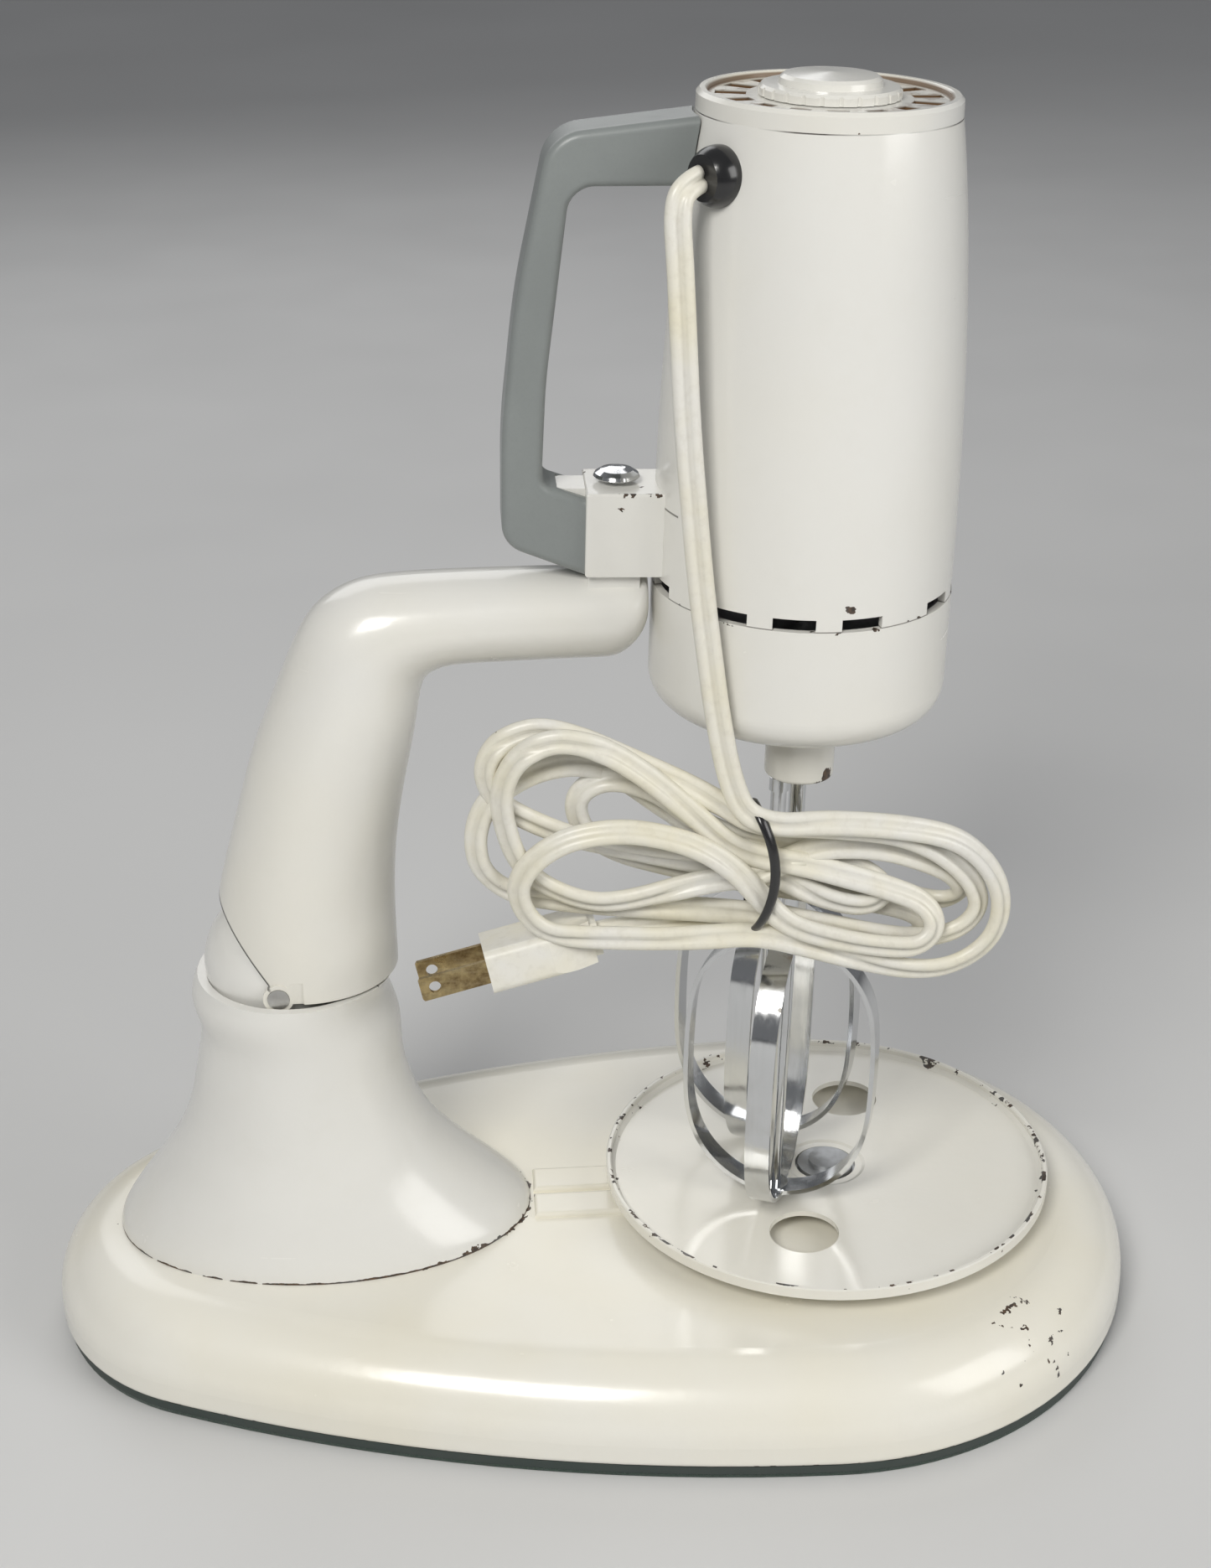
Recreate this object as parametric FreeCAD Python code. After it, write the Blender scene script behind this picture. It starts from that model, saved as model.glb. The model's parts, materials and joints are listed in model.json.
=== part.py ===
# Hand mixer on its stand.  Millimetres, +X from the column to the turntable,
# +Z up, the origin at the bottom centre of the base.
import FreeCAD, Part
import os
from math import sin, cos, tan, pi, radians, degrees, sqrt, atan2, hypot, acos

V = FreeCAD.Vector
os.makedirs("parts", exist_ok=True)

# ------------------------------------------------------------------ sizes
XH = 58.8                 # mixer axis
SEAM = 226.0              # joint of the motor housing and the gear case
BX = 16.0                 # beater axes at Y = -BX and +BX
TX = 70.2                 # turntable axis
CX = -82.8                # column axis at its rim
PX, PZ = -86.4, 115.5     # tilt pin axis, along Y
TOP = 30.0                # top face of the base
LEAN = 2.0                # the mixer leans this much towards +X in its socket


# ---------------------------------------------------------------- helpers
def cyl(r, z0, z1, x=0.0, y=0.0):
    return Part.makeCylinder(r, z1 - z0, V(x, y, z0))


def ring(ro, ri, z0, z1, x=0.0, y=0.0):
    return cyl(ro, z0, z1, x, y).cut(cyl(ri, z0 - 1, z1 + 1, x, y))


def ycyl(r, y0, y1, x, z):
    return Part.makeCylinder(r, y1 - y0, V(x, y0, z), V(0, 1, 0))


def box(x0, x1, y0, y1, z0, z1):
    return Part.makeBox(x1 - x0, y1 - y0, z1 - z0, V(x0, y0, z0))


def fuse(first, *rest):
    for s in rest:
        first = first.fuse(s)
    return first.removeSplitter()


def cut(first, *rest):
    for s in rest:
        first = first.cut(s)
    return first


def spin(shape, deg, x=XH, y=0.0):
    s = shape.copy()
    s.rotate(V(x, y, 0), V(0, 0, 1), deg)
    return s


def lean(shape):
    s = shape.copy()
    s.rotate(V(8.8, 0, 230.4), V(0, 1, 0), LEAN)
    return s


def rounded(points):
    """Closed wire in the XZ plane from (x, z, corner radius) points."""
    n = len(points)
    edges, ends = [], []
    for i in range(n):
        a, b, c = points[i - 1], points[i], points[(i + 1) % n]
        p = V(b[0], 0, b[1])
        u = V(a[0] - b[0], 0, a[1] - b[1]).normalize()
        w = V(c[0] - b[0], 0, c[1] - b[1]).normalize()
        r = b[2]
        if r == 0:
            ends.append((p, None, p))
            continue
        half = acos(max(-1, min(1, u.dot(w)))) / 2
        t = r / tan(half)
        mid = (u + w).normalize()
        ctr = p + mid * (r / sin(half))
        ends.append((p + u * t, ctr - mid * r, p + w * t))
    for i in range(n):
        a, b = ends[i], ends[(i + 1) % n]
        if a[1] is not None:
            edges.append(Part.Arc(a[0], a[1], a[2]).toShape())
        if (a[2] - b[0]).Length > 1e-6:
            edges.append(Part.makeLine(a[2], b[0]))
    return Part.Wire(edges)


def slab(points, y0, y1):
    f = Part.Face(rounded(points))
    f.translate(V(0, y0, 0))
    return f.extrude(V(0, y1 - y0, 0))


def lathe(points, x=XH, y=0.0):
    """Revolve (r, z) points; a spline runs through any inner list."""
    edges, prev = [], None
    first = None
    for p in points:
        if isinstance(p, list):
            pts = [V(q[0], 0, q[1]) for q in p]
            if prev is not None and (prev - pts[0]).Length > 1e-6:
                edges.append(Part.makeLine(prev, pts[0]))
            c = Part.BSplineCurve()
            c.interpolate(pts)
            edges.append(c.toShape())
            if first is None:
                first = pts[0]
            prev = pts[-1]
        else:
            q = V(p[0], 0, p[1])
            if prev is None:
                first = q
            elif (prev - q).Length > 1e-6:
                edges.append(Part.makeLine(prev, q))
            prev = q
    if (prev - first).Length > 1e-6:
        edges.append(Part.makeLine(prev, first))
    s = Part.Face(Part.Wire(edges)).revolve(V(0, 0, 0), V(0, 0, 1), 360)
    s = Part.Solid(s.Shells[0]) if s.ShapeType != "Solid" else s
    s.translate(V(x, y, 0))
    return s


def ellipse_wire(centre, along, half_in_plane, half_y):
    """Ellipse in the plane square to `along` (an XZ direction)."""
    n = V(along[0], 0, along[1]).normalize()
    u = V(0, 1, 0)
    w = n.cross(u)
    pts = []
    for k in range(24):
        t = 2 * pi * k / 24
        pts.append(V(centre[0], 0, centre[1]) + w * (half_in_plane * cos(t)) + u * (half_y * sin(t)))
    c = Part.BSplineCurve()
    c.interpolate(pts, PeriodicFlag=True)
    return Part.Wire([c.toShape()])


def gear(teeth, module, z0, z1, bore, x, y, phase=0.0):
    rp = teeth * module / 2
    ra, rf = rp + 0.8 * module, rp - 1.15 * module
    step = 2 * pi / teeth
    pts = []
    for k in range(teeth):
        a = k * step + radians(phase)
        for r, h in ((rf, 0.34), (ra, 0.11), (ra, -0.11), (rf, -0.34)):
            pts.append(V(x + r * cos(a - h * step), y + r * sin(a - h * step), z0))
    pts.append(pts[0])
    g = Part.Face(Part.makePolygon(pts)).extrude(V(0, 0, z1 - z0))
    return g.cut(cyl(bore, z0 - 1, z1 + 1, x, y))


def egg(z0, z1, grow, top_r):
    """The base outline: a small end, a big end and long side arcs."""
    xs, rs, xl, rl, side = -98.2, 61.0 + grow, 63.2, 96.0 + grow, 480.0 + grow
    d1, d2, span = side - rs, side - rl, xl - xs
    u = (d1 * d1 - d2 * d2 + span * span) / (2 * span)
    h = sqrt(d1 * d1 - u * u)
    cx = xs + u
    def on(px, r, sy):
        k = side / hypot(px - cx, h)
        return V(cx + (px - cx) * k, sy * (-h + h * k), z0)
    a, b = on(xs, rs, 1), on(xl, rl, 1)
    top = V(0.5 * (a.x + b.x), -h + sqrt(side ** 2 - (0.5 * (a.x + b.x) - cx) ** 2), z0)
    m = lambda p: V(p.x, -p.y, p.z)
    w = Part.Wire([Part.Arc(a, top, b).toShape(),
                   Part.Arc(b, V(xl + rl, 0, z0), m(b)).toShape(),
                   Part.Arc(m(b), m(top), m(a)).toShape(),
                   Part.Arc(m(a), V(xs - rs, 0, z0), a).toShape()])
    s = Part.Face(w).extrude(V(0, 0, z1 - z0))
    if top_r:
        s = s.makeFillet(top_r, [e for e in s.Edges if all(abs(v.Z - z1) < 1e-6 for v in e.Vertexes)])
    return s


def low_edges(s, z):
    return [e for e in s.Edges if all(abs(v.Z - z) < 1e-6 for v in e.Vertexes)]


parts = {}

# ------------------------------------------------------------------- base
skin = egg(4.0, TOP, 0.0, 19.0)
skin = skin.makeFillet(2.0, low_edges(skin, 4.0))
hollow = egg(0.0, TOP - 3.0, -3.0, 16.0)
ribs = [box(-17.6, 22, s * 6.5 - 5.5, s * 6.5 + 5.5, TOP - 1, TOP + 1.6) for s in (-1, 1)]
ribs = [r.makeFillet(1.2, [e for e in r.Edges if all(abs(v.Z - TOP - 1.6) < 1e-6 for v in e.Vertexes)]) for r in ribs]
base_screw_at = [(-135, 0), (-70, 62), (-70, -62), (70, 78), (70, -78), (140, 0)]
column_screw_at = [(CX + 19 * cos(radians(a)), 19 * sin(radians(a))) for a in (45, 135, 225, 315)]
base = skin.cut(hollow)
for x, y in base_screw_at:
    base = base.fuse(cyl(5.0, 4.0, TOP - 1.0, x, y).common(skin)).cut(cyl(1.6, 0, 16, x, y))
base = fuse(base, *ribs)
base = cut(base, cyl(5.0, 20, 40, TX, 0), cyl(12.0, 20, 40, CX, 0))
for x, y in column_screw_at:
    base = base.cut(cyl(2.2, 20, 40, x, y))
parts["base_shell"] = base

plate = egg(1.5, 4.0, -1.0, 0)
felt = egg(0.0, 1.5, -1.5, 0)
for x, y in base_screw_at:
    plate = plate.cut(cyl(1.8, 0, 5, x, y))
    felt = felt.cut(cyl(4.2, -1, 5, x, y))
parts["base_plate"] = plate
parts["base_felt"] = felt
parts["base_screws"] = Part.makeCompound(
    [fuse(cyl(3.6, 0.2, 1.5, x, y), cyl(1.6, 1.5, 16, x, y)) for x, y in base_screw_at])

# ----------------------------------------------------------------- column
COL = [(113.1, -82.8, 27.9, 27.9), (98, -83.0, 28.2, 27.9), (86, -83.4, 29.2, 28.1),
       (76, -83.7, 31.0, 28.6), (66, -83.6, 34.2, 29.5), (58, -83.5, 38.4, 30.8),
       (50, -83.0, 44.6, 32.8), (43, -82.0, 51.0, 35.0), (36, -80.4, 57.4, 37.2),
       (TOP, -79.2, 60.6, 38.6)]


def column_body(rows, wall):
    return Part.makeLoft([ellipse_wire((x, z), (0, 1), a - wall, b - wall) for z, x, a, b in rows], True, False)


core_rows = [(118.0, -82.8, 27.9, 27.9)] + COL[:-1] + [(TOP + 3.0, -79.9, 59.0, 37.8)]
col = cut(column_body(COL, 0.0), column_body(core_rows, 2.5), cyl(12.0, 20, 40, CX, 0))
for x, y in column_screw_at:
    col = col.cut(cyl(2.2, 20, 40, x, y))
parts["column"] = col

# knuckle: a ball with flat cheeks on a hollow stem
ball = Part.makeSphere(22.0, V(PX, 0, PZ))
knuckle = fuse(ball, cyl(18.0, 40, 108, CX, 0), cyl(25.0, TOP + 3, 40, CX, 0))
knuckle = cut(knuckle, box(-130, 0, -40, -21.9, 90, 150), box(-130, 0, 21.9, 40, 90, 150),
              cyl(12.0, 20, 96, CX, 0), ycyl(3.0, -40, 40, PX, PZ))
for x, y in column_screw_at:
    knuckle = knuckle.cut(cyl(1.75, 20, 39, x, y))
parts["knuckle"] = knuckle
parts["column_screws"] = Part.makeCompound(
    [fuse(cyl(3.8, TOP - 5.6, TOP - 3.0, x, y), cyl(1.75, TOP - 3.0, 38.5, x, y)) for x, y in column_screw_at])
parts["tilt_pin"] = ycyl(3.0, -24.2, 24.2, PX, PZ)

# -------------------------------------------------------------------- arm
# centre line of the arm in XZ, its direction, half height and half width
ARM = [((-80.0, 112.0), (0, 1), 25.9, 24.6), ((-79.2, 122.0), (0.02, 1), 25.2, 24.0),
       ((-77.6, 140.0), (0.1, 1), 24.0, 22.4), ((-73.6, 160.0), (0.20, 1), 22.0, 20.4),
       ((-69.0, 178.0), (0.26, 1), 20.9, 19.0), ((-64.4, 192.0), (0.36, 1), 19.6, 18.2),
       ((-60.6, 203.4), (0.50, 1), 18.4, 17.4), ((-56.8, 210.4), (0.74, 1), 17.6, 16.9),
       ((-50.8, 214.6), (1.20, 1), 16.0, 16.3), ((-43.0, 216.4), (2.0, 1), 13.9, 15.7),
       ((-30.0, 217.0), (8.0, 1), 12.4, 15.0), ((-12.0, 217.1), (1, 0), 12.2, 14.6),
       ((4.0, 217.1), (1, 0), 12.1, 14.2)]
NOSE = [((9.0, 217.4), (1, 0), 11.8, 13.9), ((13.0, 218.7), (1, 0), 10.4, 13.0),
        ((15.8, 220.5), (1, 0), 8.5, 11.2), ((17.2, 222.4), (1, 0), 6.2, 8.4)]


def arm_body(rows, wall):
    return Part.makeLoft([ellipse_wire(c, d, a - wall, b - wall) for c, d, a, b in rows], True, False)


outer = arm_body(ARM + NOSE, 0)
saddle = lean(box(1.4, 15.0, -8.6, 8.6, 218, 230.4))
inner = arm_body(ARM + [((10.6, 218.0), (1, 0), 11.3, 12.6)], 2.6)
arm = outer.fuse(saddle).cut(inner)
arm = arm.fuse(lean(cyl(9.0, 208, 228, 8.8, 0)).common(outer))
arm = cut(arm, lean(cyl(6.1, 213.9, 240, 8.8, 0)))
arm = arm.cut(box(-130, -30, -40, 40, 90, 113.9))
# the rear lower quarter is left to the knuckle
wedge_pts = [V(PX, -60, PZ), V(PX + 80 * cos(radians(126)), -60, PZ + 80 * sin(radians(126))),
             V(PX - 80, -60, PZ), V(PX - 60, -60, PZ - 60), V(PX, -60, PZ - 60), V(PX, -60, PZ)]
arm = arm.cut(Part.Face(Part.makePolygon(wedge_pts)).extrude(V(0, 120, 0)))
arm = arm.fuse(ycyl(4.2, 21.0, 25.2, PX, PZ)).fuse(ycyl(4.2, -25.2, -21.0, PX, PZ))
arm = cut(arm, box(-130, PX + 7.0, -40, -23.9, 90, 120.3), box(-130, PX + 7.0, 23.9, 40, 90, 120.3),
          Part.makeSphere(22.45, V(PX, 0, PZ)), ycyl(3.05, -40, 40, PX, PZ), box(PX - 5, PX + 5, -22.0, 22.0, 100, 120))
arm = arm.Solids[0]
parts["arm"] = arm

# -------------------------------------------------------------- turntable
tt = lathe([(9.0, 35.2), (64.3, 35.2), (65.8, 36.2), (65.8, 39.2), (65.4, 39.5), (64.6, 39.5),
            (64.2, 39.1), (64.2, 37.9), (63.0, 36.8), (12.0, 36.8), (11.0, 36.4), (9.0, 36.4)], TX)
for a in (72, 252):
    tt = tt.cut(cyl(10.0, 30, 45, TX + 36 * cos(radians(a)), 36 * sin(radians(a))))
parts["turntable"] = tt
parts["turntable_hub"] = ring(15.0, 6.05, 31.6, 35.2, TX)
parts["turntable_spindle"] = fuse(ring(13.0, 3.0, TOP, 31.2, TX), ring(6.0, 3.0, 31.2, 35.7, TX),
                                  ring(8.2, 3.0, 35.7, 36.9, TX))
parts["spindle_bolt"] = fuse(cyl(5.0, 36.9, 38.4, TX), cyl(3.0, 22.0, 36.9, TX))
parts["spindle_nut"] = Part.Face(Part.makePolygon(
    [V(TX + 6.2 * cos(radians(60 * k)), 6.2 * sin(radians(60 * k)), 23.4) for k in range(7)])
).extrude(V(0, 0, 3.6)).cut(cyl(3.0, 20, 30, TX))

# ---------------------------------------------------------- motor housing
WALL = 2.0
PROF = [(39.9, SEAM), (39.7, 250.0), (38.9, 280.0), (37.5, 305.0), (35.4, 329.0), (32.9, 348.0)]
housing = lathe([PROF, [(r - WALL, z) for r, z in PROF][::-1]])
for k in range(4):
    for a in (-126, -100.5, -75):
        slot = box(XH + 30, XH + 45, -5.5, 5.5, SEAM - 1, SEAM + 3.4)
        housing = housing.cut(spin(slot, a + 90 * k))
boss = cut(box(XH + 29.5, XH + 37.2, -4, 4, 299, 307), cyl(29.5, 290, 310, XH))
housing = fuse(housing, *[spin(boss, a) for a in (90, 210, 330)])
SR_A, SR_Z = -146.0, 335.5       # cord outlet


def radial(r, d0, d1, az, z):
    a = radians(az)
    return Part.makeCylinder(r, d1 - d0, V(XH + d0 * cos(a), d0 * sin(a), z), V(cos(a), sin(a), 0))


housing = housing.cut(radial(4.6, 25, 45, SR_A, SR_Z))
housing = cut(housing, radial(2.0, 25, 45, 180, 339.5), radial(2.0, 30, 45, 180, 242.0))
parts["motor_housing"] = housing

# gear case: the lower cap with two beater outlets
gc_out = lathe([(0, 191.0), (40.0, 191.0), (40.0, SEAM), (0, SEAM)])
gc_out = gc_out.makeFillet(9.5, low_edges(gc_out, 191.0))
gc_in = lathe([(0, 194.0), (38.0, 194.0), (38.0, SEAM + 1), (0, SEAM + 1)])
gc_in = gc_in.makeFillet(7.5, low_edges(gc_in, 194.0))
case = gc_out.cut(gc_in).fuse(ring(38.2, 34.5, 209.5, 214.0, XH))
for s in (-1, 1):
    noz = cyl(9.3, 176.5, 192.5, XH, s * BX)
    noz = noz.makeFillet(1.0, low_edges(noz, 176.5))
    case = case.fuse(noz)
JX, JY = XH - 19.265, 5.375
case = case.fuse(cyl(5.0, 193.5, 195.6, JX, JY))
case = cut(case, *[cyl(6.5, 170, 200, XH, s * BX) for s in (-1, 1)])
case = case.cut(cyl(2.5, 191.8, 200, JX, JY)).removeSplitter()
parts["gear_case"] = case

# top cap and speed dial
cap = lathe([(28.6, 344.5), (30.85, 344.5), (30.85, 348.0), (32.9, 348.0), (32.8, 351.8), (31.9, 352.8),
             (30.6, 352.8), (30.0, 352.2), (30.0, 351.4), (3.1, 351.4), (3.1, 349.6), (28.6, 349.6)])
for k in range(15):
    cap = cap.cut(spin(box(XH + 20.5, XH + 28.2, -2.6, 2.6, 345, 355), 24 * k + 3))
parts["top_cap"] = cap
dial = lathe([(0, 351.6), (17.6, 351.6), (17.6, 353.4), (16.9, 354.2), (12.9, 354.3), (12.6, 355.8),
              (11.6, 356.6), (0, 357.2)])
dial = dial.fuse(cyl(3.0, 330.5, 352, XH))
for k in range(24):
    dial = dial.cut(spin(cyl(0.7, 351.2, 354.3, XH + 17.9, 0), 15 * k))
parts["speed_dial"] = dial.removeSplitter()

# ----------------------------------------------------------------- handle
HANDLE = [(34, 348.6, 0), (-10.2, 342.8, 11), (-18.2, 302, 200), (-21.4, 268, 160), (-21.2, 238, 8),
          (0.4, 229.8, 0), (0.4, 250.6, 0), (-11.0, 254.4, 3.5), (-10.2, 281, 150), (-4.9, 330.2, 7), (34, 330.8, 0)]
skin_cut = lathe([(0, 200), [(r + 0.5, z) for r, z in PROF], (0, 348.0)]).fuse(cyl(33.6, 347, 360, XH))
tongue = box(-7.0, 0.4, -5.5, 5.5, 236.0, 252.7)
for name, s in (("handle_near", -1), ("handle_far", 1)):
    y0, y1 = (-8.9, 0.0) if s < 0 else (0.0, 8.9)
    h = slab(HANDLE, y0, y1)
    rim = [e for e in h.Edges if all(abs(v.Y - s * 8.9) < 1e-6 for v in e.Vertexes)
           and not all(abs(v.X - 34) < 1e-6 for v in e.Vertexes) and not all(abs(v.X - 0.4) < 1e-6 for v in e.Vertexes)]
    h = h.makeFillet(2.2, rim)
    h = cut(h, skin_cut, tongue, box(-7.0, 0.4, -5.5, 5.5, 252.0, 257.0), Part.makeCylinder(1.6, 30, V(0, 0, 339.5), V(1, 0, 0)))
    for x, z in ((-3, 336), (-15.5, 262)):
        h = h.cut(ycyl(1.5, -6.0, 6.0, x, z))
        h = h.cut(ycyl(2.9, 6.0, 10, x, z))
    parts[name] = h
parts["handle_screws"] = Part.makeCompound(
    [fuse(ycyl(2.9, 6.0, 7.8, x, z), ycyl(1.5, -6.0, 6.0, x, z)) for x, z in ((-3, 336), (-15.5, 262))]
    + [fuse(Part.makeCylinder(1.6, 22.0, V(6.0, 0, 339.5), V(1, 0, 0)),
            Part.makeCylinder(3.4, 1.8, V(27.5, 0, 339.5), V(1, 0, 0)))])

# ------------------------------------------------ bracket, button, latch
BZ = 252.9
bracket = box(0.4, 24.0, -11.0, 11.0, 230.4, BZ)
bracket = bracket.makeFillet(0.7, [e for e in bracket.Edges if all(abs(v.Z - BZ) < 1e-6 for v in e.Vertexes)
                                   or all(abs(v.X - 0.4) < 1e-6 for v in e.Vertexes)])
touch = lathe([(0, 200), PROF, (0, 348.0)])
bracket = fuse(bracket, tongue).cut(touch)
peg = cyl(6.0, 214.2, 232, 8.8, 0)
bracket = bracket.fuse(peg)
bracket = cut(bracket, cyl(2.8, 210, 260, 8.8, 0), cyl(4.2, 240.0, 250.4, 8.8, 0),
              Part.makeCylinder(2.0, 14, V(14, 0, 242.0), V(1, 0, 0)))
parts["handle_bracket"] = bracket.removeSplitter()
button = lathe([(0, 254.2), (5.7, 254.2), (6.1, 254.6), (5.7, 255.4), (4.3, 256.3), (2.3, 256.8), (0, 256.95)], 8.8)
button = fuse(button, cyl(2.75, 216.6, 254.6, 8.8, 0), cyl(4.1, 247.4, 248.4, 8.8, 0))
parts["release_button"] = button


def coil(x, y, z0, z1, r, wire, turns):
    h = Part.makeHelix((z1 - z0 - wire) / turns, z1 - z0 - wire, r)
    prof = Part.Wire([Part.makeCircle(wire / 2, V(r, 0, 0), V(0, 1, 0))])
    s = Part.Wire(h.Edges).makePipeShell([prof], True, True)
    s.translate(V(x, y, z0 + wire / 2))
    return s


parts["button_spring"] = coil(8.8, 0, 240.0, 244.9, 3.45, 0.7, 4)
parts["bracket_screw"] = fuse(Part.makeCylinder(2.0, 8.0, V(14.6, 0, 242.0), V(1, 0, 0)),
                              Part.makeCylinder(4.0, 2.0, V(22.6, 0, 242.0), V(1, 0, 0)))

# ---------------------------------------------------------- strain relief
a = radians(SR_A)
R0 = 34.7                    # housing radius at the outlet
sr = fuse(radial(4.6, R0 - 5.0, R0 + 1.5, SR_A, SR_Z), radial(6.5, R0 - 5.4, R0 - 3.4, SR_A, SR_Z))
bulb = Part.makeSphere(7.5, V(XH + (R0 + 0.2) * cos(a), (R0 + 0.2) * sin(a), SR_Z))
bulb = bulb.cut(lathe([(0, 300), [(r, z) for r, z in PROF[2:]], (0, 348.0)]))
front = radial(20, R0 + 5.2, R0 + 20, SR_A, SR_Z)
sr = fuse(sr.cut(lathe([(R0 - 3.0, 300), (R0 + 30, 300), (R0 + 30, 301), (R0 - 3.0, 301)])), bulb.cut(front))
parts["strain_relief"] = sr

# ------------------------------------------------------------------ motor
stator = ring(31.0, 16.2, 246, 286, XH)


def sector(ro, ri, z0, z1, mid, half):
    s = ring(ro, ri, z0, z1, XH)
    w = Part.Face(Part.makePolygon(
        [V(XH, 0, z0 - 1)] + [V(XH + 60 * cos(radians(mid + t)), 60 * sin(radians(mid + t)), z0 - 1)
                              for t in (-half, 0, half)] + [V(XH, 0, z0 - 1)])).extrude(V(0, 0, z1 - z0 + 2))
    return s.common(w)


for m in (90, 270):
    stator = stator.cut(sector(25.0, 17.4, 240, 292, m, 42))
stator = cut(stator, *[cyl(1.8, 240, 292, XH + s * 28.0, 0) for s in (-1, 1)])
parts["stator_core"] = stator
coils = fuse(sector(24.9, 17.5, 241, 291, 90, 41.7), sector(24.9, 17.5, 241, 291, 270, 41.7),
             ring(24.9, 17.5, 286.0, 291.0, XH), ring(24.9, 17.5, 241.0, 246.0, XH))
parts["field_coils"] = coils
arm_core = ring(15.6, 3.0, 247, 285, XH)
for k in range(12):
    arm_core = arm_core.cut(spin(fuse(box(XH + 8.0, XH + 13.4, -1.5, 1.5, 240, 290),
                                      box(XH + 13.0, XH + 17.0, -0.7, 0.7, 240, 290)), 30 * k))
parts["armature_core"] = arm_core
wind = [spin(box(XH + 8.1, XH + 13.3, -1.4, 1.4, 247, 285), 30 * k) for k in range(12)]
parts["armature_windings"] = fuse(ring(13.6, 4.6, 285.0, 289.5, XH), ring(13.6, 4.6, 242.5, 247.0, XH), *wind)
comm = ring(8.5, 3.0, 291.0, 304.0, XH)
for k in range(12):
    comm = comm.cut(spin(box(XH + 7.4, XH + 9.5, -0.25, 0.25, 292.4, 305), 30 * k + 15))
parts["commutator"] = comm
parts["armature_shaft"] = fuse(cyl(3.0, 203.5, 319.0, XH), gear(10, 0.8, 203.5, 209.5, 2.9, XH, 0))
fan = ring(5.0, 3.0, 229.5, 239.0, XH)
fan = fan.fuse(ring(24.5, 4.9, 238.0, 239.0, XH))
for k in range(8):
    fan = fan.fuse(spin(box(XH + 6, XH + 24.0, -0.6, 0.6, 230.0, 238.2), 45 * k))
parts["fan"] = fan.removeSplitter()
gp = cut(ring(37.9, 5.5, 214.0, 216.6, XH), *[cyl(1.8, 205, 220, XH + s * 28.0, 0) for s in (-1, 1)])
gp = fuse(gp, ring(9.0, 5.5, 209.8, 214.2, XH)).cut(cyl(2.5, 205, 220, JX, JY))
parts["gear_plate"] = gp
parts["lower_bearing"] = ring(5.5, 3.03, 209.8, 216.6, XH)
up = ring(31.5, 6.0, 307.0, 310.0, XH)
for m in (45, 135, 225, 315):
    up = up.cut(spin(cyl(7.0, 300, 312, XH + 19.0, 0), m))
up = fuse(up, ring(9.0, 6.0, 305.6, 316.0, XH))
up = cut(up, *[cyl(1.8, 300, 320, XH + s * 28.0, 0) for s in (-1, 1)])
parts["upper_bracket"] = up
parts["upper_bearing"] = ring(6.0, 3.03, 308.0, 316.0, XH)
parts["motor_studs"] = Part.makeCompound(
    [fuse(cyl(1.8, 213.9, 312.0, XH + s * 28.0, 0), cyl(3.2, 210.8, 214.0, XH + s * 28.0, 0),
          cyl(3.2, 310.0, 312.4, XH + s * 28.0, 0)) for s in (-1, 1)])
holders, brushes, springs = [], [], []
for m in (90, 270):
    h = box(XH + 11.0, XH + 26.0, -4.0, 4.0, 292.6, 302.4).cut(box(XH + 10, XH + 27, -2.5, 2.5, 294.5, 300.5))
    post = box(XH + 22.0, XH + 26.0, -3.0, 3.0, 302.4, 307.0)
    holders.append(spin(fuse(h, post), m))
    b = box(XH + 8.5, XH + 18.0, -2.5, 2.5, 294.5, 300.5)
    brushes.append(spin(b, m))
    cap2 = box(XH + 24.6, XH + 26.0, -2.5, 2.5, 294.5, 300.5)
    springs.append(spin(fuse(box(XH + 18.0, XH + 24.6, -0.9, 0.9, 296.6, 298.4), cap2), m))
parts["brush_holders"] = Part.makeCompound(holders)
parts["brushes"] = Part.makeCompound(brushes)
parts["brush_springs"] = Part.makeCompound(springs)
parts["speed_switch"] = fuse(box(XH - 13, XH + 13, -10, 10, 321.0, 334.0),
                             box(XH - 4, XH + 4, -10, 10, 334.0, 336.0),
                             *[cyl(2.0, 310.0, 321.0, XH + x, y) for x, y in ((-11.4, 0), (11.4, 0))])
parts["speed_switch"] = parts["speed_switch"].cut(cyl(3.1, 330, 340, XH))

# -------------------------------------------------------------- gear train
SG = 32                       # spindle gear teeth, module 1
jack = fuse(cyl(2.5, 191.8, 216.6, JX, JY))
parts["jack_shaft"] = jack
# phases put a tooth of one gear in a gap of the next
ang = degrees(atan2(JY, JX - XH))
jg_phase = ang + 180 + 360.0 / 40 / 2
parts["armature_shaft"] = fuse(cyl(3.0, 203.5, 319.0, XH), gear(10, 0.8, 203.5, 209.5, 2.9, XH, 0, ang))
jack_gear = gear(40, 0.8, 204.6, 208.4, 2.55, JX, JY, jg_phase)
to_far = degrees(atan2(BX - JY, XH - JX))
jack_pin = gear(12, 1.0, 196.0, 204.6, 2.55, JX, JY, to_far)
parts["jack_gear"] = fuse(jack_gear, jack_pin)
far_phase = to_far + 180 + 360.0 / SG / 2
k = round((-90 - far_phase) / (360.0 / SG))
off = -90 - far_phase - k * 360.0 / SG
near_phase = 90 + 360.0 / SG / 2 + off
for name, s, ph in (("near", -1, near_phase), ("far", 1, far_phase)):
    tube = ring(4.0, 2.3, 176.0, 203.0, XH, s * BX)
    g = gear(SG, 1.0, 197.0, 202.0, 3.9, XH, s * BX, ph)
    collar = ring(5.6, 3.9, 196.3, 197.2, XH, s * BX)
    parts["spindle_" + name] = fuse(tube, g, collar)
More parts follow.
